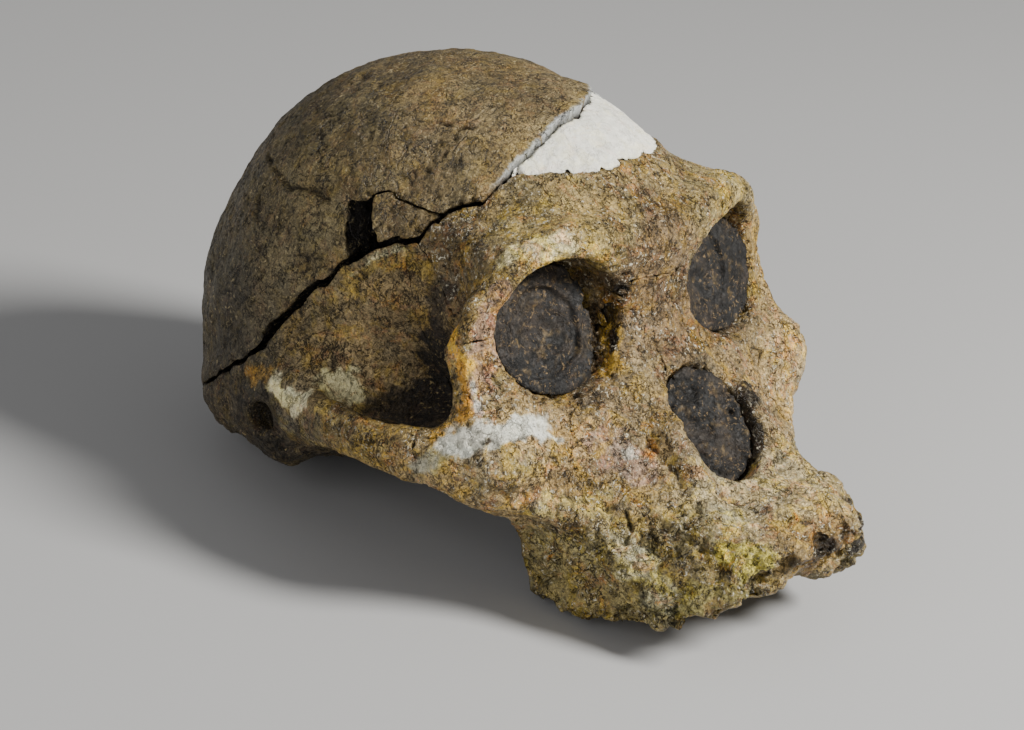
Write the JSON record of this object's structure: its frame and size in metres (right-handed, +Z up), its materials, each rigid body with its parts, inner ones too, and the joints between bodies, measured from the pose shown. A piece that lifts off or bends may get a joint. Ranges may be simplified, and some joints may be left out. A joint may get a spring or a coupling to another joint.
{
  "type": "fossil hominin skull",
  "caption": "Still life-size model of an early hominin cranium, a fossil without lower jaw or tooth crowns, lying on its tooth row and the back of its head.",
  "frame": {"origin": "centre of the skull's box on the floor that it lies on", "axes": "+X forward to the snout, +Y to the skull's own left, +Z up, with the skull leaning back as it lies"},
  "size_m": [0.1903, 0.1294, 0.1108],
  "materials": {
    "vault_bone": "dry mineralised bone, dark olive brown, matt",
    "face_bone": "dry mineralised bone, ochre and tan, matt",
    "base_bone": "dry mineralised bone, brown with rust stains, matt",
    "plaster": "cream restorer's plaster, matt",
    "rock": "dark cave rock left in the orbits and nose, matt"
  },
  "bodies": {
    "root": {"arch_left": "face_bone", "arch_right": "face_bone", "frontal": "face_bone", "frontal_plaster": "plaster", "maxilla": "face_bone", "nasal_bones": "face_bone", "nose_rock": "rock", "occipital": "base_bone", "orbit_rock_left": "rock", "orbit_rock_right": "rock", "parietal_fragment": "vault_bone", "sphenoid": "base_bone", "temporal_left": "base_bone", "temporal_right": "base_bone", "vault_cap": "vault_bone", "zygomatic_left": "face_bone", "zygomatic_right": "face_bone"}
  },
  "joints": []
}
